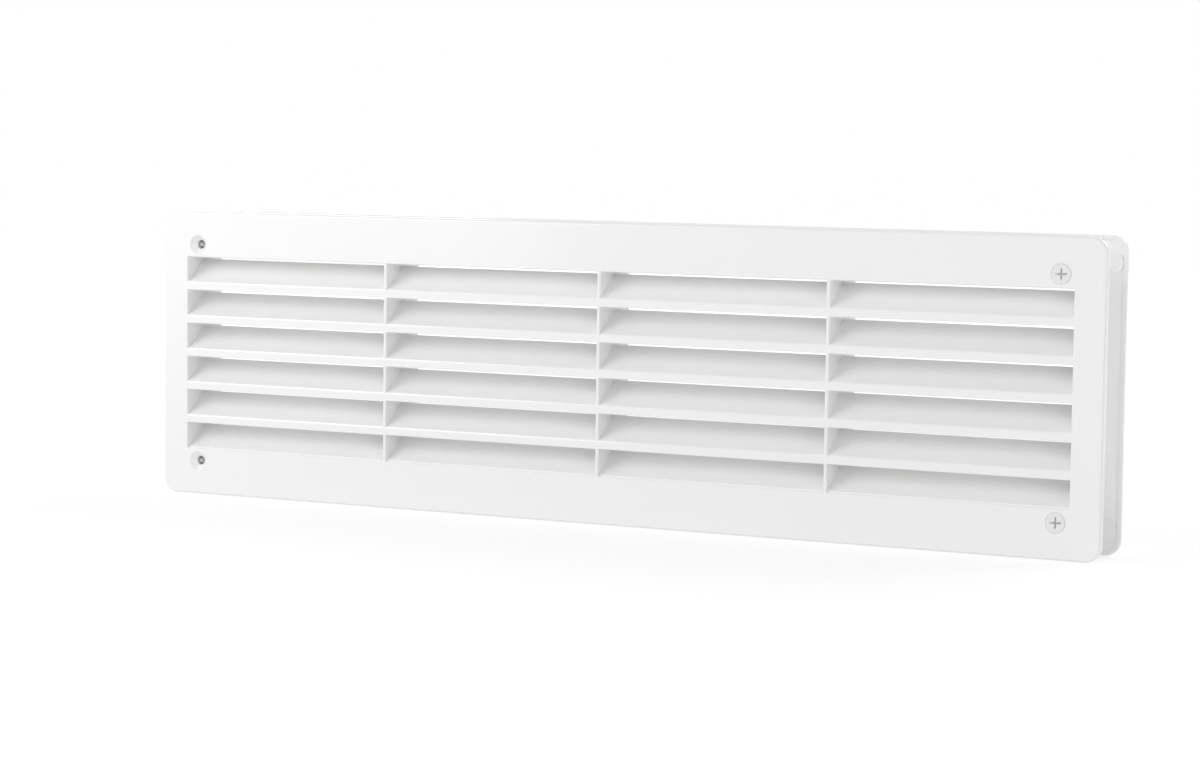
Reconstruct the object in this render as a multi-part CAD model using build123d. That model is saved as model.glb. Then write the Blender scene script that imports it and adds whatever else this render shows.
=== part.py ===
from build123d import *
import os

# Door louver: two identical louvred plastic panels, back to back, drawn together by four countersunk screws.
# Millimetres. X runs along the width, Y through the door from front to back, Z up. The origin is the middle.

# Panel outline
panel_width = 450.0
panel_height = 129.0
panel_depth = 13.8
corner_radius = 6.5
edge_round = 1.2

# Border: a plate with a shallow rim round its rear side, which bears on the door
side_margin = 13.3
top_margin = 20.75
plate_thickness = 2.0
rim_depth = 2.6
rim_width = 1.6

# Louvre grid
columns = 4
rows = 6
rib_thickness = 1.6
strip_height = 3.7
sight_gap = 1.4
slat_rear_thickness = 2.0
edge_break = 0.4

# Collar behind the border, which enters the cut-out in the door
collar_wall = 1.8

# Screw stations near the corners
hole_inset_x = 19.0
hole_inset_z = 15.0
boss_diameter = 8.4
pilot_diameter = 4.0
clearance_diameter = 4.6
sink_diameter = 8.9

# Screws, countersunk with a cross recess and a blunt tip
head_diameter = 7.9
screw_length = 25.0
tip_length = 3.0
tip_diameter = 1.6
recess_span = 5.0
recess_width = 0.9
recess_depth = 2.3
recess_floor_span = 2.4
recess_floor_width = 0.6

# Sizes that follow from these
grid_width = panel_width - 2 * side_margin
grid_height = panel_height - 2 * top_margin
column_pitch = (grid_width + rib_thickness) / columns
row_pitch = (grid_height + strip_height) / rows
slot_height = row_pitch - strip_height
slat_rise = slot_height - sight_gap
collar_width = grid_width + 2 * collar_wall
collar_height = grid_height + 2 * collar_wall
hole_x = panel_width / 2 - hole_inset_x
hole_z = panel_height / 2 - hole_inset_z
sink_radius = sink_diameter / 2
head_radius = head_diameter / 2
shank_radius = pilot_diameter / 2
head_land = sink_radius - head_radius
head_depth = head_land + head_radius - shank_radius

# What grows out of another piece starts this deep inside it.
plate_root = plate_thickness / 2
wall_root = collar_wall / 2


# The panel is drawn with its show face on Y = 0 and its rear towards +Y.
def slab(width, height, start, depth):
    """A block of the given face size, from one depth behind the show face over a further depth."""
    return Pos(0, start + depth / 2, 0) * Box(width, depth, height)


def rod(diameter, start, depth):
    """A round bar along Y."""
    return Pos(0, start + depth / 2, 0) * Rot(90, 0, 0) * Cylinder(diameter / 2, depth)


def border():
    """The rounded plate with its soft front edge, its rear rim and the opening for the grid."""
    plate = slab(panel_width, panel_height, 0, rim_depth)
    plate = fillet(plate.edges().filter_by(Axis.Y), corner_radius)
    plate = fillet(plate.faces().sort_by(Axis.Y)[0].edges(), edge_round)
    field_width = panel_width - 2 * rim_width
    field_height = panel_height - 2 * rim_width
    field = slab(field_width, field_height, plate_thickness, rim_depth - plate_thickness)
    field = fillet(field.edges().filter_by(Axis.Y), corner_radius - rim_width)
    plate = plate - field - slab(grid_width, grid_height, 0, rim_depth)
    lip = plate.faces().sort_by(Axis.Y)[0].inner_wires()[0]
    return chamfer(lip.edges(), edge_break)


def collar():
    """The rectangular tube behind the border."""
    tube = slab(collar_width, collar_height, plate_root, panel_depth - plate_root)
    return tube - slab(grid_width, grid_height, 0, panel_depth)


def slat():
    """A slat between the collar's sides: an upright front strip, and a blade that climbs to the rear and thins."""
    top_front = (0, 0)
    top_rear = (panel_depth, slat_rise)
    low_rear = (panel_depth, slat_rise - slat_rear_thickness)
    low_front = (0, -strip_height)
    section = make_face(Polyline(top_front, top_rear, low_rear, low_front, close=True))
    section = chamfer(section.vertices().sort_by(Axis.X)[:2], edge_break)
    return extrude(Plane.YZ * section, grid_width / 2 + wall_root, both=True)


def slats():
    """The free slats, one pitch apart, and the sill slat that grows out of the lower border."""
    bottom = -grid_height / 2
    free = [Pos(0, 0, bottom + row * row_pitch) * slat() for row in range(1, rows)]
    sill = Pos(0, 0, bottom) * slat() - slab(panel_width, panel_height, 0, plate_root)
    return free + [sill]


def ribs():
    """The thin upright ribs between the columns, flush with the slats in front and behind."""
    bar = slab(rib_thickness, grid_height + 2 * wall_root, 0, panel_depth)
    bar = chamfer(bar.edges().filter_by(Axis.Z).sort_by(Axis.Y)[:2], edge_break)
    middle = columns / 2
    return [Pos((number - middle) * column_pitch, 0, 0) * bar for number in range(1, columns)]


def stations(side):
    """The upper and lower screw station at one end of the panel."""
    return [Pos(side * hole_x, 0, level * hole_z) for level in (1, -1)]


def bosses():
    """Round posts behind the border, as deep as the collar, that take the screws."""
    post = rod(boss_diameter, plate_root, panel_depth - plate_root)
    return [place * post for side in (1, -1) for place in stations(side)]


def hole(diameter):
    """A countersunk hole right through the plate and its boss."""
    bore = rod(diameter, 0, panel_depth)
    sink = Pos(0, sink_radius / 2, 0) * Rot(90, 0, 0) * Cone(0, sink_radius, sink_radius)
    return bore + sink


def panel():
    """One whole moulding: clearance holes at its right end, pilot holes at its left end."""
    body = border() + collar() + slats() + ribs() + bosses()
    for place in stations(1):
        body = body - place * hole(clearance_diameter)
    for place in stations(-1):
        body = body - place * hole(pilot_diameter)
    return body.solid()


def cross(span, width):
    """The outline of the cross recess at one depth."""
    wing = Rectangle(span, width)
    return (wing + Rot(0, 0, 90) * wing).face()


def screw():
    """A countersunk screw with its head on Y = 0, its tip towards +Y and a cross recess in the head."""
    outline = Polyline(
        (0, 0),
        (head_radius, 0),
        (head_radius, head_land),
        (shank_radius, head_depth),
        (shank_radius, screw_length - tip_length),
        (tip_diameter / 2, screw_length),
        (0, screw_length),
        close=True,
    )
    body = revolve(make_face(outline), Axis.Y)
    mouth = cross(recess_span, recess_width)
    floor = Pos(0, 0, recess_depth) * cross(recess_floor_span, recess_floor_width)
    pocket = Rot(-90, 0, 0) * loft([mouth, floor], ruled=True)
    return (body - pocket).solid()


# The collars meet on the middle plane. The back half is the front half, turned half round.
half = Pos(0, -panel_depth, 0)
turned = Rot(0, 0, 180)

moulding = half * panel()
front_screws = [half * place * screw() for place in stations(1)]
back_screws = [turned * piece for piece in front_screws]

nodes = {
    "front_panel": moulding,
    "back_panel": turned * moulding,
    "screws": Compound(children=front_screws + back_screws),
}

os.makedirs("parts", exist_ok=True)
for name, shape in nodes.items():
    export_step(shape, "parts/" + name + ".step")
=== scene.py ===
import math

import bpy
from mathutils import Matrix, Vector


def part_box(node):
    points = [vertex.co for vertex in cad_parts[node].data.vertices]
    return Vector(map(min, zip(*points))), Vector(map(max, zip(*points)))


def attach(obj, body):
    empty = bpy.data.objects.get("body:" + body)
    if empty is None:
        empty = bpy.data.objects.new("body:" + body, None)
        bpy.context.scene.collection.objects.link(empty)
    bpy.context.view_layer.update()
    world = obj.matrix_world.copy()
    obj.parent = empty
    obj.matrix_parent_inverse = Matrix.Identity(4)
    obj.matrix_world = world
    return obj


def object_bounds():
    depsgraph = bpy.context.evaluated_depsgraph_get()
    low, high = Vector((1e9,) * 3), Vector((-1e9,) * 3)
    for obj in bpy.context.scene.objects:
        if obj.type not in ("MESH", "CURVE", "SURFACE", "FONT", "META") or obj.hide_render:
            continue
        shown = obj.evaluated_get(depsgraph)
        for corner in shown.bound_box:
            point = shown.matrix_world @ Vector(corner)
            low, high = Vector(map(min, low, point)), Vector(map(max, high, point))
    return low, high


# The louver as it is screwed together: two moulded panels back to back and four screws.
# Metres, with X along the width, Y through the door from front to back and Z up.
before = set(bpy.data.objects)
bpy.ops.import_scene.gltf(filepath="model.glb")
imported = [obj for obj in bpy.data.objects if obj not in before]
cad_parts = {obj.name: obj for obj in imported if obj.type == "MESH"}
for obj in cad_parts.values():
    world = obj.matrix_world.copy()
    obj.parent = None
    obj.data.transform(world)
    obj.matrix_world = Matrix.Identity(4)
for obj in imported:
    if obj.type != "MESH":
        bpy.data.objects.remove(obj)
cad_low, cad_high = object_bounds()
panel_low, panel_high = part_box("front_panel")
MM = 0.001


# Front and back panel: one white plastic moulding, used twice, with its border, slats, ribs and collar in one
# piece. It is injection moulded in a polished tool, which leaves a gloss with a faint grain, and with slow ripples
# where the thicker parts have cooled.
def link(tree, source, target):
    tree.links.new(source, target)


def tool_finish_group():
    """A slow drift of tone, an uneven gloss and the height of the relief, for a moulded or lacquered skin."""
    ripple_detail = 2.0
    grain_detail = 3.0
    grain_roughness = 0.6
    share_in_gloss = 0.5
    grain_in_height = 0.04

    group = bpy.data.node_groups.new("tool_finish", "ShaderNodeTree")
    group.interface.new_socket("Place", in_out="INPUT", socket_type="NodeSocketVector")
    for name in ("Grain Scale", "Ripple Scale"):
        group.interface.new_socket(name, in_out="INPUT", socket_type="NodeSocketFloat")
    for name in ("Drift", "Gloss", "Height"):
        group.interface.new_socket(name, in_out="OUTPUT", socket_type="NodeSocketFloat")
    nodes = group.nodes
    given = nodes.new("NodeGroupInput")
    result = nodes.new("NodeGroupOutput")

    ripple = nodes.new("ShaderNodeTexNoise")
    ripple.inputs["Detail"].default_value = ripple_detail
    link(group, given.outputs["Place"], ripple.inputs["Vector"])
    link(group, given.outputs["Ripple Scale"], ripple.inputs["Scale"])

    grain = nodes.new("ShaderNodeTexNoise")
    grain.inputs["Detail"].default_value = grain_detail
    grain.inputs["Roughness"].default_value = grain_roughness
    link(group, given.outputs["Place"], grain.inputs["Vector"])
    link(group, given.outputs["Grain Scale"], grain.inputs["Scale"])

    grain_gloss = nodes.new("ShaderNodeMath")
    grain_gloss.operation = "MULTIPLY"
    grain_gloss.inputs[1].default_value = share_in_gloss
    link(group, grain.outputs["Fac"], grain_gloss.inputs[0])
    gloss = nodes.new("ShaderNodeMath")
    gloss.operation = "MULTIPLY_ADD"
    gloss.inputs[1].default_value = share_in_gloss
    link(group, ripple.outputs["Fac"], gloss.inputs[0])
    link(group, grain_gloss.outputs["Value"], gloss.inputs[2])

    height = nodes.new("ShaderNodeMath")
    height.operation = "MULTIPLY_ADD"
    height.inputs[1].default_value = grain_in_height
    link(group, grain.outputs["Fac"], height.inputs[0])
    link(group, ripple.outputs["Fac"], height.inputs[2])

    link(group, ripple.outputs["Fac"], result.inputs["Drift"])
    link(group, gloss.outputs["Value"], result.inputs["Gloss"])
    link(group, height.outputs["Value"], result.inputs["Height"])
    return group


tool_finish = tool_finish_group()


def finish_nodes(material, grain_scale, ripple_scale, relief):
    """Places the tool finish in a material and gives back its tree, the group and the shader."""
    material.use_nodes = True
    tree = material.node_tree
    shader = tree.nodes["Principled BSDF"]
    place = tree.nodes.new("ShaderNodeTexCoord")
    finish = tree.nodes.new("ShaderNodeGroup")
    finish.node_tree = tool_finish
    finish.inputs["Grain Scale"].default_value = grain_scale
    finish.inputs["Ripple Scale"].default_value = ripple_scale
    link(tree, place.outputs["Object"], finish.inputs["Place"])
    bump = tree.nodes.new("ShaderNodeBump")
    bump.inputs["Strength"].default_value = 1.0
    bump.inputs["Distance"].default_value = relief
    link(tree, finish.outputs["Height"], bump.inputs["Height"])
    link(tree, bump.outputs["Normal"], shader.inputs["Normal"])
    return tree, finish, shader


def blend_colours(tree, factor, first, second):
    """The first colour where the factor is 0 and the second where it is 1."""
    mix = tree.nodes.new("ShaderNodeMix")
    mix.data_type = "RGBA"
    mix.inputs["A"].default_value = (*first, 1.0)
    mix.inputs["B"].default_value = (*second, 1.0)
    link(tree, factor, mix.inputs["Factor"])
    return mix.outputs["Result"]


def spread(tree, value, low, high):
    """Maps a 0 to 1 value to a range."""
    node = tree.nodes.new("ShaderNodeMapRange")
    node.inputs["To Min"].default_value = low
    node.inputs["To Max"].default_value = high
    link(tree, value, node.inputs["Value"])
    return node.outputs["Result"]


def dress(piece, material):
    piece.data.materials.clear()
    piece.data.materials.append(material)


milk_white = (0.95, 0.95, 0.945)
cool_white = (0.965, 0.965, 0.963)
panel_polished = 0.08
panel_dulled = 0.14
plastic_ior = 1.53
panel_plastic = bpy.data.materials.new("panel_plastic")
tree, finish, shader = finish_nodes(panel_plastic, grain_scale=2200.0, ripple_scale=30.0, relief=0.15 * MM)
tone = blend_colours(tree, finish.outputs["Drift"], milk_white, cool_white)
gloss = spread(tree, finish.outputs["Gloss"], panel_polished, panel_dulled)
link(tree, tone, shader.inputs["Base Color"])
link(tree, gloss, shader.inputs["Roughness"])
shader.inputs["IOR"].default_value = plastic_ior
for node in ("front_panel", "back_panel"):
    dress(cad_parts[node], panel_plastic)


# Inner pads: low round seats on the rear side of each border, near its corners, such as ejector pins push on.
# They are moulded on the panel, and their slightly dished tops are level with its rim.
pad_radius = 3.9 * MM
pad_height = 0.6 * MM
pad_sides = 48
pad_land = 0.35 * MM
pad_slope = 0.25 * MM
pad_dish = 0.12 * MM
pad_inset_x = 5.6 * MM
pad_inset_z = 10.8 * MM
rim_depth = 2.6 * MM
facing_up = 0.9

bpy.ops.object.select_all(action="DESELECT")
bpy.ops.mesh.primitive_cylinder_add(vertices=pad_sides, radius=pad_radius, depth=pad_height)
pad = bpy.context.object
bpy.ops.object.mode_set(mode="EDIT")
bpy.ops.mesh.select_all(action="DESELECT")
bpy.ops.object.mode_set(mode="OBJECT")
for face in pad.data.polygons:
    face.select = face.normal.z > facing_up
bpy.ops.object.mode_set(mode="EDIT")
bpy.ops.mesh.inset(thickness=pad_land)
bpy.ops.mesh.inset(thickness=pad_slope)
bpy.ops.transform.translate(value=(0.0, 0.0, -pad_dish))
bpy.ops.object.mode_set(mode="OBJECT")

pads = []
half_width = panel_high.x - pad_inset_x
half_height = panel_high.z - pad_inset_z
seat = panel_low.y + rim_depth - pad_height / 2
for side in (-1, 1):
    for x in (-half_width, half_width):
        for z in (-half_height, half_height):
            copy = pad.copy()
            copy.data = pad.data.copy()
            bpy.context.collection.objects.link(copy)
            copy.location = (x, -side * seat, z)
            copy.rotation_euler = (side * math.pi / 2, 0.0, 0.0)
            pads.append(copy)
bpy.data.objects.remove(pad)
bpy.ops.object.select_all(action="DESELECT")
for copy in pads:
    copy.select_set(True)
bpy.context.view_layer.objects.active = pads[0]
bpy.ops.object.transform_apply(location=True, rotation=True, scale=True)
bpy.ops.object.join()
inner_pads = bpy.context.object
inner_pads.name = "inner_pads"
dress(inner_pads, panel_plastic)
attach(inner_pads, "root")


# Screws: four countersunk steel screws, cold headed with a cross recess, two from each side. They are lacquered
# white to match the panels. The cross recess and the head just below its face are painted paler, a painted light
# that lifts the shade in the recess. The shank and the blunt tip, which shows in the far hole, are bare zinc.
lacquer_white = (0.90, 0.90, 0.90)
lacquer_shade = (0.86, 0.86, 0.86)
recess_painted_light = (0.95, 0.95, 0.95)
bare_zinc = (0.50, 0.50, 0.51)
lacquer_polished = 0.22
lacquer_dulled = 0.36

# Distances from the middle plane, from the face of the head inwards
head_face = panel_high.y - panel_low.y
recess_start = head_face - 0.05 * MM
recess_full = head_face - 0.9 * MM
shank_start = head_face - 2.4 * MM
shank_full = head_face - 2.6 * MM

screw_lacquer = bpy.data.materials.new("screw_lacquer")
tree, finish, shader = finish_nodes(screw_lacquer, grain_scale=2600.0, ripple_scale=420.0, relief=0.02 * MM)
place = tree.nodes.new("ShaderNodeTexCoord")
axes = tree.nodes.new("ShaderNodeSeparateXYZ")
link(tree, place.outputs["Object"], axes.inputs["Vector"])
distance = tree.nodes.new("ShaderNodeMath")
distance.operation = "ABSOLUTE"
link(tree, axes.outputs["Y"], distance.inputs[0])
coat = blend_colours(tree, finish.outputs["Drift"], lacquer_white, lacquer_shade)
# Painted light: from just below the head's face down into the recess, the colour goes paler to lift the shade
# there.
recess = (recess_painted_light, recess_full, recess_start)
shank = (bare_zinc, shank_full, shank_start)
for colour, full, start in (recess, shank):
    mask = tree.nodes.new("ShaderNodeMapRange")
    mask.inputs["From Min"].default_value = full
    mask.inputs["From Max"].default_value = start
    mask.inputs["To Min"].default_value = 1.0
    mask.inputs["To Max"].default_value = 0.0
    link(tree, distance.outputs["Value"], mask.inputs["Value"])
    layer = tree.nodes.new("ShaderNodeMix")
    layer.data_type = "RGBA"
    layer.inputs["B"].default_value = (*colour, 1.0)
    link(tree, mask.outputs["Result"], layer.inputs["Factor"])
    link(tree, coat, layer.inputs["A"])
    coat = layer.outputs["Result"]
gloss = spread(tree, finish.outputs["Gloss"], lacquer_polished, lacquer_dulled)
link(tree, coat, shader.inputs["Base Color"])
link(tree, gloss, shader.inputs["Roughness"])
dress(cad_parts["screws"], screw_lacquer)


# Stage: a plain white floor under the louver, faintly lit from below, and white air behind it.
# For what the camera and the gloss see, both are drawn up to white.
# Near the louver the floor keeps its soft shadow.
floor_size = 5.0
floor_gap = 0.2 * MM
floor_bounce = (0.6, 0.6, 0.6, 1.0)
light_from_below = 0.26
floor_shown = (0.50, 0.50, 0.50, 1.0)
shadow_reach = 0.35
white_reach = 0.75
shadow_glow = 0.62
white_glow = 0.80
air_white = (1.0, 1.0, 1.0, 1.0)
room_strength = 0.40
air_strength = 1.0

bpy.ops.object.select_all(action="DESELECT")
bpy.ops.mesh.primitive_plane_add(size=floor_size, location=(0.0, 0.0, cad_low.z - floor_gap))
floor = bpy.context.object
floor.name = "floor"


def seen_directly(tree):
    """1 for camera, glossy and transmission rays, 0 for the light that bounces."""
    path = tree.nodes.new("ShaderNodeLightPath")
    total = path.outputs["Is Camera Ray"]
    for name in ("Is Glossy Ray", "Is Transmission Ray"):
        more = tree.nodes.new("ShaderNodeMath")
        more.operation = "MAXIMUM"
        link(tree, total, more.inputs[0])
        link(tree, path.outputs[name], more.inputs[1])
        total = more.outputs["Value"]
    return total


def glowing(tree, colour):
    """A diffuse shader with an emission added to it."""
    diffuse = tree.nodes.new("ShaderNodeBsdfDiffuse")
    diffuse.inputs["Color"].default_value = colour
    emission = tree.nodes.new("ShaderNodeEmission")
    both = tree.nodes.new("ShaderNodeAddShader")
    link(tree, diffuse.outputs["BSDF"], both.inputs[0])
    link(tree, emission.outputs["Emission"], both.inputs[1])
    return both.outputs["Shader"], emission.inputs["Strength"]


floor_paper = bpy.data.materials.new("floor_paper")
floor_paper.use_nodes = True
tree = floor_paper.node_tree
tree.nodes.clear()
lighting, below = glowing(tree, floor_bounce)
below.default_value = light_from_below
shown, glow = glowing(tree, floor_shown)
place = tree.nodes.new("ShaderNodeTexCoord")
reach = tree.nodes.new("ShaderNodeVectorMath")
reach.operation = "LENGTH"
link(tree, place.outputs["Object"], reach.inputs[0])
fade = tree.nodes.new("ShaderNodeMapRange")
fade.inputs["From Min"].default_value = shadow_reach
fade.inputs["From Max"].default_value = white_reach
fade.inputs["To Min"].default_value = shadow_glow
fade.inputs["To Max"].default_value = white_glow
link(tree, reach.outputs["Value"], fade.inputs["Value"])
link(tree, fade.outputs["Result"], glow)
choose = tree.nodes.new("ShaderNodeMixShader")
link(tree, seen_directly(tree), choose.inputs["Fac"])
link(tree, lighting, choose.inputs[1])
link(tree, shown, choose.inputs[2])
surface = tree.nodes.new("ShaderNodeOutputMaterial")
link(tree, choose.outputs["Shader"], surface.inputs["Surface"])
dress(floor, floor_paper)

world = bpy.data.worlds.new("white_room")
bpy.context.scene.world = world
world.use_nodes = True
tree = world.node_tree
tree.nodes.clear()
room_light = tree.nodes.new("ShaderNodeBackground")
room_light.inputs["Color"].default_value = air_white
room_light.inputs["Strength"].default_value = room_strength
white_air = tree.nodes.new("ShaderNodeBackground")
white_air.inputs["Color"].default_value = air_white
white_air.inputs["Strength"].default_value = air_strength
choose = tree.nodes.new("ShaderNodeMixShader")
link(tree, seen_directly(tree), choose.inputs["Fac"])
link(tree, room_light.outputs["Background"], choose.inputs[1])
link(tree, white_air.outputs["Background"], choose.inputs[2])
surface = tree.nodes.new("ShaderNodeOutputWorld")
link(tree, choose.outputs["Shader"], surface.inputs["Surface"])


# Lamps: a low softbox to the front left, which stands on the floor and lies in the gloss of the left half of
# the face, and on either side of the louver a broad one high up and a fill that reaches into the slots.
def softbox(name, place, size, watts):
    lamp = bpy.data.lights.new(name, "AREA")
    lamp.shape = "RECTANGLE"
    lamp.size, lamp.size_y = size
    lamp.energy = watts
    box = bpy.data.objects.new(name, lamp)
    bpy.context.collection.objects.link(box)
    box.location = place
    towards = (cad_low + cad_high) / 2 - box.location
    box.rotation_euler = towards.to_track_quat("-Z", "Y").to_euler()


softbox("left_softbox", place=(-1.2, -1.42, 0.2), size=(0.74, 0.55), watts=1.6)
softbox("front_softbox", place=(-1.2, -1.0, 0.75), size=(1.2, 0.9), watts=12.0)
softbox("front_fill", place=(1.7, -1.4, 0.35), size=(1.6, 0.9), watts=9.4)
softbox("back_softbox", place=(0.8, 1.4, 1.2), size=(1.8, 1.3), watts=16.0)
softbox("back_fill", place=(-1.7, 1.4, 0.35), size=(1.6, 0.9), watts=12.0)


# Camera: a little above the louver and well to its right, with a long lens.
camera_place = (0.6188, -1.1952, 0.1067)
camera_turn = (85.149, -0.681, 27.653)
camera_lens = 94.157
sensor_width = 36.0
camera_data = bpy.data.cameras.new("camera")
camera_data.lens = camera_lens
camera_data.sensor_width = sensor_width
camera = bpy.data.objects.new("camera", camera_data)
bpy.context.collection.objects.link(camera)
camera.location = camera_place
camera.rotation_euler = [math.radians(angle) for angle in camera_turn]
bpy.context.scene.camera = camera
bpy.context.scene.view_settings.view_transform = "Standard"
